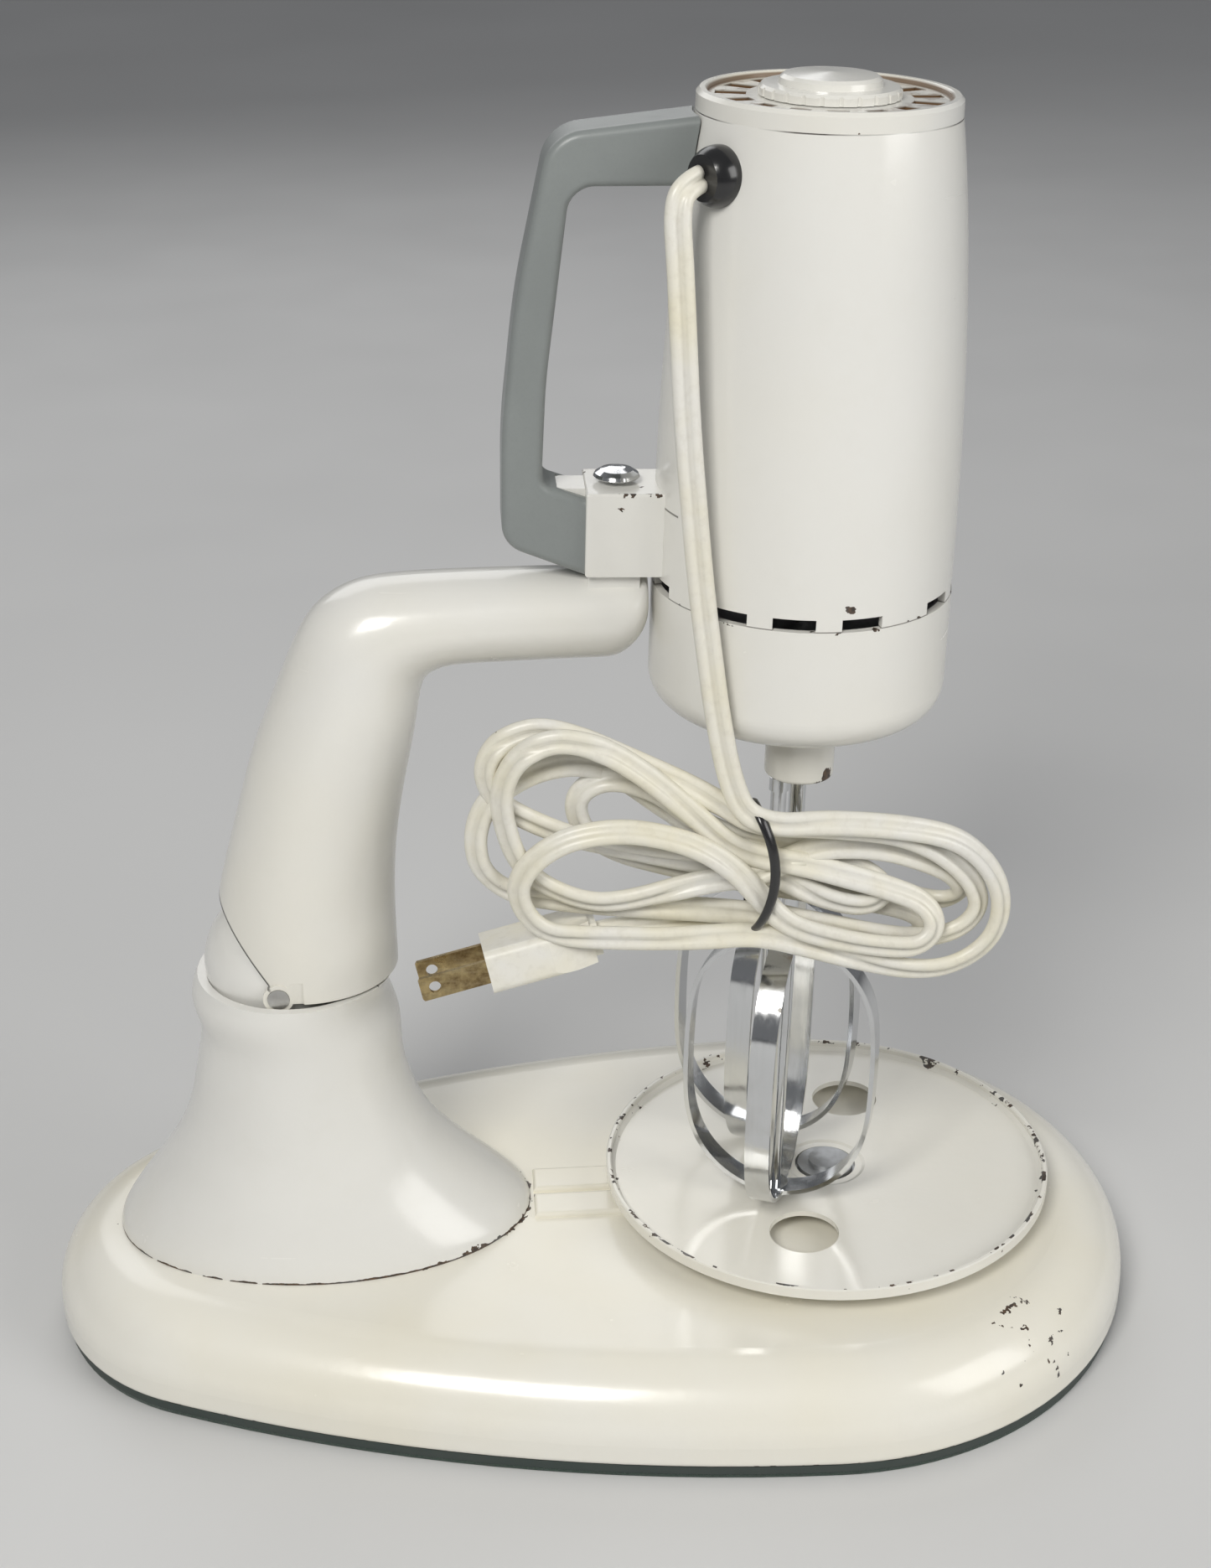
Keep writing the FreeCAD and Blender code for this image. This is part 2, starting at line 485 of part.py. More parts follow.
parts["spindle_bushes"] = Part.makeCompound(
    [ring(6.5, 4.05, 177.2, 196.2, XH, s * BX) for s in (-1, 1)])

# ---------------------------------------------------------------- beaters
CAGE = [(0.0, 127.4), (9.0, 125.6), (18.0, 120.0), (24.6, 110.6), (27.2, 98.0), (27.6, 82.0), (26.8, 68.0),
        (23.0, 56.0), (15.5, 47.2), (7.0, 42.8), (0.0, 41.6)]
BAND, STRIP = 1.3, 7.0


def mirror_pair(half):
    pts = [V(r, 0, z) for r, z in half]
    wire = []
    for side in (1, -1):
        c = Part.BSplineCurve()
        c.interpolate([V(side * p.x, 0, p.z) for p in pts])
        wire.append(c.toShape())
    return Part.Face(Part.Wire(Part.__sortEdges__(wire)))


def inset(half, d):
    out = []
    for i, (r, z) in enumerate(half):
        if r == 0:
            out.append((0.0, z + (d if i else -d)))
            continue
        (r0, z0), (r1, z1) = half[i - 1], half[i + 1]
        k = hypot(r1 - r0, z1 - z0)
        out.append((r + (z1 - z0) / k * d, z - (r1 - r0) / k * d))
    return out


def beater(y, turn):
    loop = mirror_pair(CAGE).extrude(V(0, STRIP, 0))
    window = mirror_pair(inset(CAGE, BAND)).extrude(V(0, STRIP + 2, 0))
    loop.translate(V(XH, -STRIP / 2, 0))
    window.translate(V(XH, -STRIP / 2 - 1, 0))
    band = loop.cut(window)
    body = spin(band, turn).fuse(spin(band, turn + 90))
    body = fuse(body, cyl(2.3, 41.2, 199.0, XH, 0), cyl(2.9, 156.0, 160.0, XH, 0), cyl(4.4, 41.0, 44.0, XH, 0),
                cyl(4.0, 122.5, 129.0, XH, 0))
    body.translate(V(0, y, 0))
    return body


parts["beater_near"] = beater(-BX, -20.0)
parts["beater_far"] = beater(BX, 65.0)

# ------------------------------------------------------------------- cord
CORD = 6.7                    # width of the flat two-core cord


def tube(points, d):
    """Straight runs joined by tangent arcs, swept by a circle."""
    pts = [V(*q) for q in points]
    edges, start, radii = [], pts[0], []
    for i in range(1, len(pts) - 1):
        a, b, c = pts[i - 1], pts[i], pts[i + 1]
        u, w = (a - b), (c - b)
        run = min(u.Length, w.Length)
        u.normalize()
        w.normalize()
        half = (pi - acos(max(-1, min(1, u.dot(w))))) / 2
        if half < 0.005:
            continue
        r = 0.45 * run / tan(half)
        t = 0.45 * run
        radii.append(round(r, 1))
        mid = (u + w).normalize()
        ctr = b + mid * (r / cos(half))
        p, q = b + u * t, b + w * t
        edges += [Part.makeLine(start, p), Part.Arc(p, ctr - mid * r, q).toShape()]
        start = q
    edges.append(Part.makeLine(start, pts[-1]))
    w = Part.Wire(edges)
    prof = Part.Wire([Part.makeCircle(d / 2, pts[0], edges[0].tangentAt(edges[0].FirstParameter))])
    s = w.makePipeShell([prof], True, False)
    print("tube length %.1f, volume %.0f of %.0f, radii %s" % (w.Length, s.Volume, w.Length * pi * d * d / 4, radii))
    return s


LEAD = [(29.4, -22.3, 334.9), (24.6, -25.6, 333.6), (22.9, -27.0, 327.6), (23.6, -28.4, 316.0), (24.2, -30.6, 298.0),
        (25.0, -32.6, 277.0), (26.6, -33.9, 256.0), (28.2, -34.8, 237.0), (30.2, -35.9, 219.5),
        (32.4, -37.2, 201.5), (35.4, -38.0, 185.0), (38.8, -38.4, 172.0)]
parts["cord_lead"] = tube(LEAD, CORD)
HANK = [(-33, 171, 2.5, 8), (-25, 174, 6, 20), (-10, 173, 8.5, 26), (10, 169.5, 8.5, 25.5), (28, 164, 8, 20.5),
        (39, 160, 7, 17.6), (47, 159, 7, 17.6), (60, 155.5, 7.5, 19.5), (80, 149.5, 8, 25), (97, 146, 7, 22),
        (108, 145, 5, 15), (113, 144, 2, 7)]
wires = []
for x, z, hy, hz in HANK:
    pts = [V(x, -36.5 + hy * cos(2 * pi * k / 20), z + hz * sin(2 * pi * k / 20)) for k in range(20)]
    c = Part.BSplineCurve()
    c.interpolate(pts, PeriodicFlag=True)
    wires.append(Part.Wire([c.toShape()]))
parts["cord_hank"] = Part.makeLoft(wires, True, False)
TAIL = [(1.0, -33.0, 137.4), (14.0, -32.5, 138.8), (27.5, -32.8, 139.7), (40.0, -33.8, 145.0)]
parts["cord_tail"] = tube(TAIL, CORD)


def oval(x0, x1, z, hy, hz):
    pts = [V(x0, -36.5 + hy * cos(2 * pi * k / 20), z + hz * sin(2 * pi * k / 20)) for k in range(20)]
    c = Part.BSplineCurve()
    c.interpolate(pts, PeriodicFlag=True)
    return Part.Face(Part.Wire([c.toShape()])).extrude(V(x1 - x0, 0, 0))


parts["cord_tie"] = oval(41.6, 44.4, 159.5, 8.8, 19.4).cut(oval(41, 45, 159.5, 7.1, 17.7))

# plug, lying along its own axis; blades point to -X and a little down
PLUG_AT, PLUG_ROLL, PLUG_TURN, PLUG_TILT = V(1.0, -33.0, 137.4), 8.0, 6.0, 11.5


def place(shape):
    s = shape.copy()
    s.rotate(V(0, 0, 0), V(1, 0, 0), -PLUG_ROLL)
    s.rotate(V(0, 0, 0), V(0, 0, 1), PLUG_TURN)
    s.rotate(V(0, 0, 0), V(0, 1, 0), -PLUG_TILT)
    s.translate(PLUG_AT)
    return s


body = box(-31.0, -2.0, -9.6, 9.6, -6.0, 6.0)
body = body.makeFillet(2.4, [e for e in body.Edges if abs(e.Vertexes[0].X - e.Vertexes[1].X) > 1])
for sy in (-1, 1):
    w = Part.Face(Part.makePolygon([V(-14, sy * 20, -8), V(-14, sy * 9.7, -8), V(0, sy * 5.4, -8), V(0, sy * 20, -8),
                                    V(-14, sy * 20, -8)])).extrude(V(0, 0, 16))
    body = body.cut(w)
collar = box(-3.0, 0.0, -5.6, 5.6, -4.6, 4.6)
body = fuse(body, collar.makeFillet(1.0, [e for e in collar.Edges if abs(e.Vertexes[0].X - e.Vertexes[1].X) > 1]))
for sy in (-1, 1):
    body = body.cut(box(-32, -22, sy * 6.35 - 0.76, sy * 6.35 + 0.76, -3.18, 3.18))
parts["plug_body"] = place(body)
blades = []
for sy in (-1, 1):
    b = box(-49.6, -22.0, sy * 6.35 - 0.76, sy * 6.35 + 0.76, -3.18, 3.18)
    b = b.makeChamfer(0.5, [e for e in b.Edges if all(abs(v.X + 49.6) < 1e-6 for v in e.Vertexes)])
    b = b.cut(Part.makeCylinder(1.6, 30, V(-45.6, -15, 0), V(0, 1, 0)))
    blades.append(place(b))
parts["plug_blades"] = Part.makeCompound(blades)

# the mixer and all that is in it leans; the stand, the cord and its plug don't
STRAIGHT = ("base", "column", "knuckle", "tilt_pin", "arm", "turntable", "spindle_bolt", "spindle_nut", "cord", "plug")
for name in parts:
    if name.startswith("armature") or not name.startswith(STRAIGHT):
        parts[name] = lean(parts[name])

# ------------------------------------------------------------------ write
if __name__ == "__main__":
    for name, shape in parts.items():
        shape.exportStep("parts/%s.step" % name)
    bb = Part.makeCompound(list(parts.values())).BoundBox
    print("parts", len(parts), "box", [round(v, 2) for v in (bb.XMin, bb.XMax, bb.YMin, bb.YMax, bb.ZMin, bb.ZMax)])
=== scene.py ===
"""Hand mixer on its stand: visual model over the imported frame, in metres."""
import json
from math import sin, cos, pi, radians
import bpy, bmesh
from mathutils import Vector, Matrix


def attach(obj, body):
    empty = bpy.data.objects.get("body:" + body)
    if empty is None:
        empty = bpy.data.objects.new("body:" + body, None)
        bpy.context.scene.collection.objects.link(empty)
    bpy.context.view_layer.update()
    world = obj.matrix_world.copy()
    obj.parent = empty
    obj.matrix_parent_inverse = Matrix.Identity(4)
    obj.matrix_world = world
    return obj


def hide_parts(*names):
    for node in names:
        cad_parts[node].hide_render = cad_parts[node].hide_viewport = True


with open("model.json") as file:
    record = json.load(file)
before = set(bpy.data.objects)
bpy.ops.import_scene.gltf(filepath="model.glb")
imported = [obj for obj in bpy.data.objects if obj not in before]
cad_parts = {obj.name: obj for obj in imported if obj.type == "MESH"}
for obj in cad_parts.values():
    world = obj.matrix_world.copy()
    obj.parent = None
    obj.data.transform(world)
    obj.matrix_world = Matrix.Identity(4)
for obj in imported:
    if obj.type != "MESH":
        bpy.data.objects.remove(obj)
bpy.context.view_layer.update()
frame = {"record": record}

scene = bpy.context.scene
XH = 0.0588               # mixer axis
TX = 0.0702               # turntable axis
MM = 0.001
LEAN = radians(2)         # the mixer leans back on the arm
LEAN_PIVOT = (0.0088, 0, 0.2304)
TIE_X = 0.043             # where the black tie holds the hank


# ------------------------------------------------------------------ camera
def make_camera():
    yaw, pitch, roll = radians(3.42), radians(25.53), radians(-0.80)
    fw = Vector((sin(yaw) * cos(pitch), cos(yaw) * cos(pitch), -sin(pitch)))
    rt = Vector((cos(yaw), -sin(yaw), 0))
    up = rt.cross(fw)
    r2 = rt * cos(roll) + up * sin(roll)
    u2 = up * cos(roll) - rt * sin(roll)
    data = bpy.data.cameras.new("camera")
    data.sensor_width = 36.0
    data.lens = 55.06
    data.clip_start, data.clip_end = 0.02, 80.0
    cam = bpy.data.objects.new("camera", data)
    m = Matrix((r2, u2, -fw)).transposed().to_4x4()
    m.translation = Vector((-0.02998, -0.59658, 0.45106))
    cam.matrix_world = m
    scene.collection.objects.link(cam)
    scene.camera = cam


make_camera()


# ---------------------------------------------------------- node materials
class Mat:
    """A node material, written as short expressions on object coordinates."""

    def __init__(self, name, leaning=False):
        self.m = bpy.data.materials.new(name)
        self.m.use_nodes = True
        self.t = self.m.node_tree
        self.t.nodes.clear()
        self.out = self.t.nodes.new("ShaderNodeOutputMaterial")
        self.bsdf = self.t.nodes.new("ShaderNodeBsdfPrincipled")
        self.t.links.new(self.bsdf.outputs[0], self.out.inputs["Surface"])
        self.pos = self.t.nodes.new("ShaderNodeTexCoord").outputs["Object"]
        if leaning:           # in the mixer's own axes
            turn = self.t.nodes.new("ShaderNodeVectorRotate")
            turn.rotation_type = "Y_AXIS"
            turn.inputs["Center"].default_value = LEAN_PIVOT
            turn.inputs["Angle"].default_value = -LEAN
            self.t.links.new(self.pos, turn.inputs["Vector"])
            self.pos = turn.outputs[0]
        self._xyz = None

    def put(self, socket, value):
        if hasattr(value, "is_output"):
            self.t.links.new(value, socket)
        elif isinstance(value, (tuple, list, Vector)):
            v = tuple(value)
            socket.default_value = v if len(v) == len(socket.default_value) else (*v, 1.0)
        else:
            socket.default_value = value

    def math(self, op, a, b=0.0, c=None, clamp=False):
        n = self.t.nodes.new("ShaderNodeMath")
        n.operation, n.use_clamp = op, clamp
        self.put(n.inputs[0], a)
        self.put(n.inputs[1], b)
        if c is not None:
            self.put(n.inputs[2], c)
        return n.outputs[0]

    def add(self, a, b): return self.math("ADD", a, b)
    def sub(self, a, b): return self.math("SUBTRACT", a, b)
    def mul(self, a, b): return self.math("MULTIPLY", a, b)
    def mx(self, a, b): return self.math("MAXIMUM", a, b)
    def gt(self, a, b): return self.math("GREATER_THAN", a, b)

    def vec(self, op, a, b):
        n = self.t.nodes.new("ShaderNodeVectorMath")
        n.operation = op
        self.put(n.inputs[0], a)
        self.put(n.inputs[1], b)
        return n.outputs["Value" if op in ("LENGTH", "DOT_PRODUCT", "DISTANCE") else "Vector"]

    def xyz(self):
        if self._xyz is None:
            n = self.t.nodes.new("ShaderNodeSeparateXYZ")
            self.put(n.inputs[0], self.pos)
            self._xyz = n.outputs
        return self._xyz

    def noise(self, scale, detail=2.0, rough=0.5, stretch=None, offset=None, distort=0.0):
        p = self.pos
        if stretch:
            p = self.vec("MULTIPLY", p, stretch)
        if offset:
            p = self.vec("ADD", p, offset)
        n = self.t.nodes.new("ShaderNodeTexNoise")
        self.put(n.inputs["Vector"], p)
        n.inputs["Scale"].default_value = scale
        n.inputs["Detail"].default_value = detail
        n.inputs["Roughness"].default_value = rough
        n.inputs["Distortion"].default_value = distort
        return n.outputs[0]

    def dots(self, scale, size, share, offset=(0, 0, 0)):
        """Scattered spots: a share of the cells hold one, of that size in cells."""
        p = self.vec("ADD", self.pos, offset)
        n = self.t.nodes.new("ShaderNodeTexVoronoi")
        self.put(n.inputs["Vector"], p)
        n.inputs["Scale"].default_value = scale
        sep = self.t.nodes.new("ShaderNodeSeparateColor")
        self.put(sep.inputs[0], n.outputs["Color"])
        size = self.mul(sep.outputs[1], size)
        edge = self.mul(self.sub(self.noise(scale * 9, 2.0), 0.5), 0.05)
        inside = self.gt(size, self.add(n.outputs["Distance"], edge))
        return self.mul(inside, self.gt(share, sep.outputs[0]))

    def ramp(self, v, lo, hi, a=0.0, b=1.0):
        n = self.t.nodes.new("ShaderNodeMapRange")
        n.clamp = True
        self.put(n.inputs["Value"], v)
        for key, x in zip(("From Min", "From Max", "To Min", "To Max"), (lo, hi, a, b)):
            n.inputs[key].default_value = x
        return n.outputs[0]

    def mix(self, f, a, b):
        n = self.t.nodes.new("ShaderNodeMix")
        n.data_type = "RGBA"
        self.put(n.inputs[0], f)
        self.put(n.inputs[6], a)
        self.put(n.inputs[7], b)
        return n.outputs[2]

    def near_point(self, p, r):
        return self.ramp(self.vec("DISTANCE", self.pos, p), 0.0, r, 1.0, 0.0)

    def near_ring(self, x, y, r, z, wr, wz):
        """1 on a horizontal circle, 0 beyond wr across it or wz up and down."""
        q = self.vec("MULTIPLY", self.vec("SUBTRACT", self.pos, (x, y, 0)), (1, 1, 0))
        dr = self.math("ABSOLUTE", self.sub(self.vec("LENGTH", q, (0, 0, 0)), r))
        dz = self.math("ABSOLUTE", self.sub(self.xyz()[2], z))
        return self.mul(self.ramp(dr, wr * 0.5, wr, 1.0, 0.0), self.ramp(dz, wz * 0.5, wz, 1.0, 0.0))

    def in_box(self, lo, hi, soft=0.001):
        m = None
        for k in range(3):
            c, h = (lo[k] + hi[k]) / 2, (hi[k] - lo[k]) / 2
            d = self.math("ABSOLUTE", self.sub(self.xyz()[k], c))
            f = self.ramp(d, h, h + soft, 1.0, 0.0)
            m = f if m is None else self.mul(m, f)
        return m

    def bump(self, height, distance, strength=1.0, normal=None):
        n = self.t.nodes.new("ShaderNodeBump")
        n.inputs["Strength"].default_value = strength
        n.inputs["Distance"].default_value = distance
        self.put(n.inputs["Height"], height)
        if normal is not None:
            self.put(n.inputs["Normal"], normal)
        return n.outputs[0]

    def finish(self, color, rough, normal=None, metal=0.0, **more):
        b = self.bsdf.inputs
        self.put(b["Base Color"], color)
        self.put(b["Roughness"], rough)
        self.put(b["Metallic"], metal)
        if normal is not None:
            self.put(b["Normal"], normal)
        for key, v in more.items():
            b[key.replace("_", " ")].default_value = v
        return self.m


def enamel(name, tint=(0.79, 0.782, 0.745), zones=None, specks=0.05, seed=0.0, yellow=0.35, leaning=False,
           lines=None):
    """Gloss stove enamel: orange peel, slight yellowing, specks and chips."""
    m = Mat(name, leaning)
    off = (seed, seed * 0.7, -seed)
    big = m.noise(9.0, 3.0, 0.6, offset=off)
    fine = m.noise(70.0, 4.0, 0.65, offset=off)
    warm = (tint[0] * 0.985, tint[1] * 0.955, tint[2] * 0.86)
    col = m.mix(m.ramp(big, 0.40, 0.72, 0.0, yellow), tint, warm)
    col = m.mix(m.ramp(fine, 0.52, 0.80, 0.0, 0.16), col, (tint[0] * 0.9, tint[1] * 0.89, tint[2] * 0.84))
    # hairline scuffs
    hair = m.noise(160.0, 2.0, 0.5, stretch=(0.10, 0.10, 2.6), offset=off)
    hair = m.ramp(hair, 0.735, 0.76)
    # small dark specks
    dark = m.dots(28.0, 0.026, specks, offset=off)
    chip = dark
    if zones:
        z = zones(m)
        ragged = m.add(m.noise(230.0, 3.0, 0.62, offset=off), m.mul(m.noise(60.0, 2.0, offset=off), 0.5))
        chip = m.mx(chip, m.gt(m.add(ragged, m.mul(z, 0.62)), 1.13))
    rust = m.mix(m.ramp(m.noise(900.0, 2.0), 0.35, 0.7), (0.030, 0.022, 0.017), (0.12, 0.07, 0.038))
    steel = m.mix(m.ramp(m.noise(120.0, 2.0, offset=(4, 1, 2)), 0.50, 0.66), rust, (0.085, 0.08, 0.075))
    col = m.mix(chip, col, steel)
    # lines: dark seam lines and dirt, plus painted shade on the cap's groove and recess walls
    if lines:
        grime_and_shade, shade = lines(m)
        col = m.mix(grime_and_shade, col, shade)
        chip = m.mx(chip, m.mul(grime_and_shade, 0.6))
    rough = m.add(m.ramp(fine, 0.3, 0.8, 0.20, 0.29), m.mul(hair, 0.05))
    rough = m.mx(rough, m.mul(chip, 0.62))
    peel = m.bump(m.noise(330.0, 2.0), 0.00007, 0.55)
    nrm = m.bump(m.sub(1.0, chip), 0.00022, 0.9, peel)
    nrm = m.bump(m.noise(1500.0, 3.0), 0.00002, 0.4, nrm)
    return m.finish(col, rough, nrm, Coat_Weight=0.30, Coat_Roughness=0.13, IOR=1.52)


def metal(name, tint, rough, streak=(1, 1, 1), scale=400.0, dull=(0.25, 0.22, 0.18), dirt=0.25,
          spots=0.10, contrast=0.10):
    m = Mat(name)
    line = m.noise(scale, 3.0, 0.6, stretch=streak)
    patch = m.noise(55.0, 4.0, 0.65)
    col = m.mix(m.ramp(line, 0.3, 0.8, 0.0, contrast * 2), tint, tuple(c * 0.72 for c in tint))
    col = m.mix(m.ramp(patch, 0.50, 0.78, 0.0, dirt), col, dull)
    spot = m.dots(160.0, 0.14, spots)
    col = m.mix(m.mul(spot, 0.7), col, dull)
    r = m.add(m.ramp(patch, 0.35, 0.75, rough, rough + 0.14), m.ramp(line, 0.4, 0.8, 0.0, contrast))
    r = m.mx(r, m.mul(spot, 0.55))
    nrm = m.bump(line, 0.00003, 0.5)
    nrm = m.bump(m.noise(90.0, 2.0), 0.0001, 0.12, nrm)
    return m.finish(col, r, nrm, metal=1.0)


def plastic(name, tint, rough, grain=900.0, depth=0.00004, dirt=(0.3, 0.27, 0.2), amount=0.12, **more):
    m = Mat(name)
    cloud = m.noise(26.0, 4.0, 0.6)
    fine = m.noise(grain, 3.0, 0.6)
    col = m.mix(m.ramp(cloud, 0.40, 0.75, 0.0, amount), tint,
                tuple(a * 0.55 + b * 0.45 for a, b in zip(tint, dirt)))
    col = m.mix(m.ramp(fine, 0.45, 0.8, 0.0, 0.13), col, tuple(c * 0.7 for c in tint))
    mark = m.dots(45.0, 0.05, 0.10)
    col = m.mix(m.mul(mark, 0.6), col, tuple(c * 0.35 for c in tint))
    rub = m.ramp(m.noise(120.0, 2.0, 0.5, stretch=(1, 1, 0.16)), 0.66, 0.74, 0.0, 0.5)
    r = m.add(m.ramp(cloud, 0.3, 0.75, rough, rough + 0.10), m.mul(rub, 0.14))
    nrm = m.bump(fine, depth, 0.5)
    nrm = m.bump(m.noise(60.0, 2.0), 0.0001, 0.2, nrm)
    return m.finish(col, r, nrm, **more)


def banded(name, a, b, axis, pitch, rough, metallic):
    """Fine parallel windings or laminations along one axis."""
    m = Mat(name)
    wave = m.math("SINE", m.mul(m.xyz()[axis], 2 * pi / pitch))
    wave = m.ramp(m.add(wave, m.mul(m.noise(500.0), 0.5)), -0.8, 1.1)
    col = m.mix(wave, a, b)
    col = m.mix(m.ramp(m.noise(80.0, 3.0), 0.5, 0.8, 0.0, 0.5), col, tuple(c * 0.5 for c in a))
    nrm = m.bump(wave, pitch * 0.3, 0.8)
    return m.finish(col, m.ramp(m.noise(300.0), 0.3, 0.7, rough, rough + 0.2), nrm, metal=metallic)


def felt():
    m = Mat("felt_green")
    fibre = m.noise(1400.0, 5.0, 0.75, distort=1.2)
    lump = m.noise(130.0, 3.0)
    col = m.mix(m.ramp(fibre, 0.3, 0.75), (0.012, 0.030, 0.022), (0.045, 0.085, 0.062))
    col = m.mix(m.ramp(lump, 0.5, 0.75, 0.0, 0.4), col, (0.03, 0.035, 0.028))
    nrm = m.bump(fibre, 0.0004, 0.9)
    return m.finish(col, m.ramp(lump, 0.3, 0.7, 0.86, 0.97), nrm, Sheen_Weight=0.3)


def brass():
    m = Mat("tarnished_brass")
    patch = m.noise(170.0, 4.0, 0.7)
    line = m.noise(900.0, 2.0, stretch=(0.2, 1, 1))
    col = m.mix(m.ramp(patch, 0.40, 0.66), (0.52, 0.40, 0.20), (0.20, 0.135, 0.065))
    col = m.mix(m.ramp(line, 0.45, 0.8, 0.0, 0.45), col, (0.66, 0.56, 0.34))
    nrm = m.bump(m.add(line, m.mul(patch, 0.6)), 0.00005, 0.6)
    return m.finish(col, m.ramp(patch, 0.35, 0.7, 0.24, 0.50), nrm, metal=1.0)


def vinyl(name, tint=(0.78, 0.765, 0.71)):
    m = Mat(name)
    age = m.noise(38.0, 3.0, 0.6)
    fine = m.noise(420.0, 3.0, 0.6)
    col = m.mix(m.ramp(age, 0.38, 0.70, 0.0, 0.75), tint, (tint[0] * 0.97, tint[1] * 0.93, tint[2] * 0.76))
    col = m.mix(m.ramp(fine, 0.50, 0.80, 0.0, 0.22), col, (0.46, 0.42, 0.34))
    spot = m.dots(120.0, 0.07, 0.10)
    col = m.mix(m.mul(spot, 0.7), col, (0.17, 0.14, 0.10))
    nrm = m.bump(fine, 0.00005, 0.45)
    return m.finish(col, m.ramp(age, 0.3, 0.75, 0.30, 0.44), nrm, Coat_Weight=0.12, Coat_Roughness=0.25)


def base_zones(m):
    right = m.mul(m.in_box((0.108, -0.088, 0.014), (0.128, -0.060, 0.030), 0.005), 0.41)
    foot = m.mul(m.in_box((-0.17, -0.11, 0.0035), (0.17, 0.11, 0.0050), 0.0004), 0.34)
    ring = m.mul(m.ramp(m.vec("DISTANCE", m.vec("MULTIPLY", m.vec("SUBTRACT", m.pos, (-0.0792, 0, 0)),
                                          (1, 1.57, 0)), (0, 0, 0)),
                        0.0606, 0.0640, 1.0, 0.0), m.ramp(m.xyz()[0], -0.075, -0.03, 0.25, 0.52))
    return m.mx(m.mx(ring, right), foot)


def column_zones(m):
    """The flared edge is chipped all round, worst on the turntable side."""
    z = m.xyz()[2]
    edge = m.mul(m.ramp(z, 0.0303, 0.0310, 1.0, 0.0), m.ramp(m.xyz()[0], -0.12, -0.035, 0.74, 1.0))
    rim = m.mul(m.ramp(z, 0.1123, 0.1130), 0.30)
    wide = m.mul(m.mul(m.ramp(z, 0.0300, 0.0340, 1.0, 0.0), m.ramp(m.xyz()[0], -0.070, -0.040, 0.0, 1.0)), 0.80)
    return m.mx(m.mx(edge, wide), rim)


def table_zones(m):
    inner = m.near_ring(TX, 0, 0.0640, 0.0378, 0.0024, 0.0026)
    top = m.near_ring(TX, 0, 0.0647, 0.0394, 0.0011, 0.0010)
    patch = m.ramp(m.noise(26.0, 1.0, offset=(8, 2, 5)), 0.40, 0.60, 0.55, 1.0)
    return m.mx(m.mul(m.mul(inner, 0.53), patch), m.mul(top, 0.50))


def housing_zones(m):
    seam = m.near_ring(XH, 0, 0.0399, 0.2262, 0.004, 0.0009)
    chip = m.near_point((0.0655, -0.0394, 0.2322), 0.0050)
    cord_side = m.mul(m.near_point((0.0300, -0.0200, 0.3355), 0.0125), 0.50)
    return m.mx(m.mx(m.mul(seam, 0.36), m.mul(chip, 0.98)), cord_side)


def housing_lines(m):
    seam = m.near_ring(XH, 0, 0.0399, 0.2260, 0.004, 0.00035)
    hair = m.mul(m.in_box((0.0180, -0.0180, 0.2490), (0.0260, -0.0060, 0.2494), 0.0001), 0.8)
    cap = m.near_ring(XH, 0, 0.0329, 0.34795, 0.002, 0.00035)
    part = m.mul(m.ramp(m.noise(45.0, 2.0), 0.40, 0.60), cap)
    return m.mx(m.mx(m.mul(seam, 0.75), hair), part), (0.05, 0.042, 0.034)


def case_zones(m):
    seam = m.near_ring(XH, 0, 0.0399, 0.2258, 0.004, 0.0007)
    nozzle = m.mul(m.near_point((0.0655, -0.0235, 0.1772), 0.0080), 1.05)
    tip = m.mul(m.ramp(m.xyz()[2], 0.1764, 0.1774, 1.0, 0.0), 0.50)
    return m.mx(m.mx(m.mul(seam, 0.42), nozzle), tip)


def cap_zones(m):
    return m.mul(m.near_ring(XH, 0, 0.0330, 0.3482, 0.0015, 0.0007), 0.30)


def cap_lines(m):
    """Brown dirt in the air slots, and brown painted shade in the groove behind the rim and on the recess walls."""
    q = m.vec("MULTIPLY", m.vec("SUBTRACT", m.pos, (XH, 0, 0)), (1, 1, 0))
    r = m.vec("LENGTH", q, (0, 0, 0))
    # groove and walls: painted shade in the recess behind the rim; halo: brown dirt round the slots
    groove = m.mul(m.ramp(r, 0.0288, 0.0296), m.ramp(r, 0.0300, 0.0304, 1.0, 0.0))
    walls = m.mul(m.ramp(m.xyz()[2], 0.3509, 0.3513, 1.0, 0.0), m.ramp(r, 0.0290, 0.0292, 1.0, 0.0))
    halo = m.mul(m.mul(m.ramp(r, 0.0188, 0.0215), m.ramp(r, 0.0272, 0.0292, 1.0, 0.0)),
                 m.ramp(m.noise(260.0, 3.0), 0.50, 0.66))
    g = m.mx(m.mx(m.mul(groove, 0.85), walls), m.mul(halo, 0.55))
    return g, (0.17, 0.095, 0.045)


def bracket_zones(m):
    edge_x = m.mul(m.in_box((0.0002, -0.0112, 0.2303), (0.0012, 0.0112, 0.2530), 0.0003), 0.44)
    edge_z = m.mul(m.in_box((0.0, -0.0112, 0.2302), (0.0200, 0.0112, 0.2308), 0.0003), 0.48)
    top = m.mul(m.in_box((0.0, -0.0112, 0.2520), (0.0200, -0.0102, 0.2531), 0.0004), 0.62)
    spot = m.mul(m.near_point((0.0098, -0.0110, 0.2492), 0.0036), 1.0)
    around = m.mul(m.near_ring(0.0088, 0, 0.0070, 0.2528, 0.0022, 0.0008), 0.42)
    return m.mx(m.mx(m.mx(edge_x, edge_z), m.mx(top, spot)), around)


